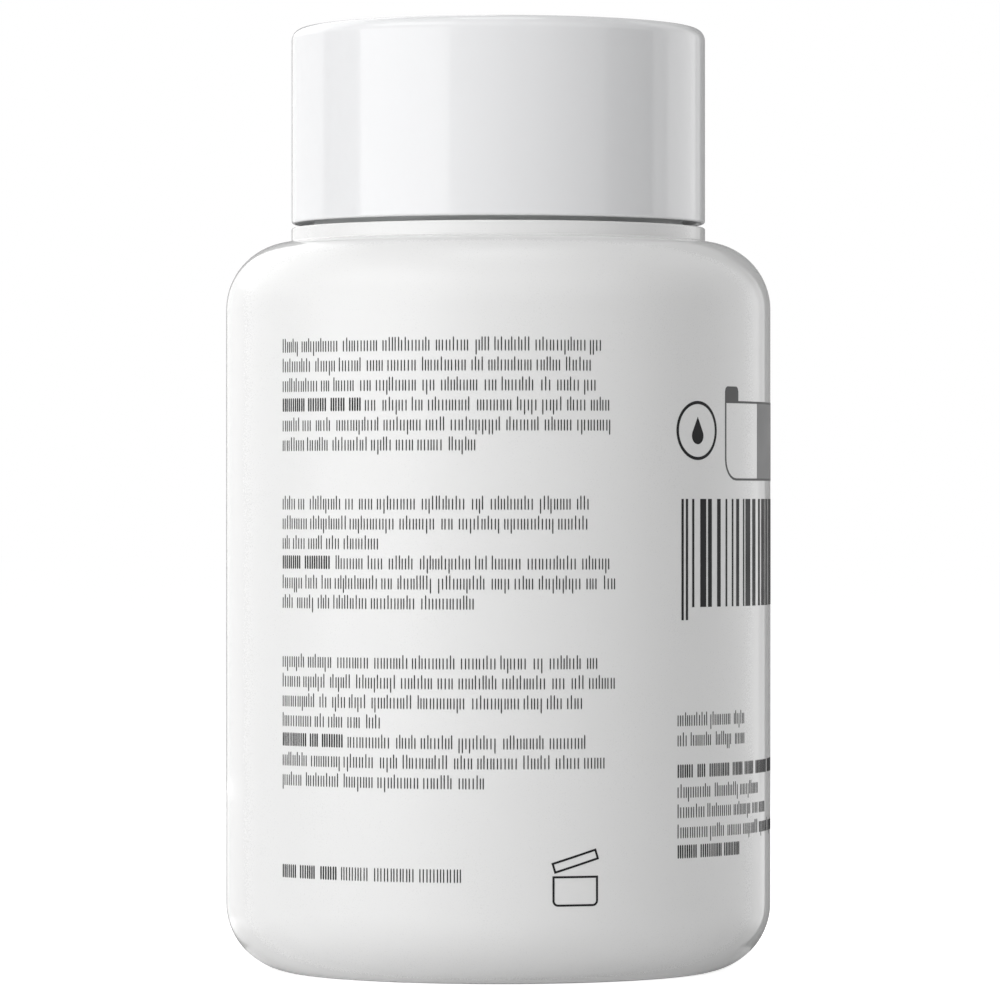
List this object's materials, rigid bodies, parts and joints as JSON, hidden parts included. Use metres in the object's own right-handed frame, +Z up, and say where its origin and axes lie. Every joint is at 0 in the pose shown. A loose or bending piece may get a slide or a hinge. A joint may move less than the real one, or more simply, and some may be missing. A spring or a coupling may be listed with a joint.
{
  "type": "nail polish remover bottle",
  "caption": "Round white bottle with a raised neck, a smooth screw cap that rises along its thread, and a foam insert with a finger hole.",
  "frame": {"origin": "centre of the standing ring, on the bottle's axis", "axes": "+Z up along the axis, +X to the right and -Y towards the viewer of the picture"},
  "size_m": [0.05, 0.05, 0.0862],
  "materials": {
    "bottle_plastic": "satin",
    "sponge_foam": "matte",
    "cap_plastic": "gloss",
    "insert_plastic": "satin",
    "liner_foam": "matte"
  },
  "bodies": {
    "bottle": {"bottle": "bottle_plastic", "sponge": "sponge_foam"},
    "liner": {"cap_liner": "liner_foam"},
    "cap": {"cap_shell": "cap_plastic", "cap_insert": "insert_plastic"}
  },
  "joints": [
    {"name": "cap_lift", "type": "slide", "parent": "bottle", "child": "liner", "axis": [0, 0, 1], "range_m": [0, 0.0212]},
    {"name": "cap_turn", "type": "hinge", "parent": "liner", "child": "cap", "pos_m": [0, 0, 0.0775], "axis": [0, 0, 1], "range_deg": [0, 1800]}
  ],
  "couplings": [
    {"joint": "cap_lift", "follows": "cap_turn", "m_per_rad": 0.00067323}
  ]
}
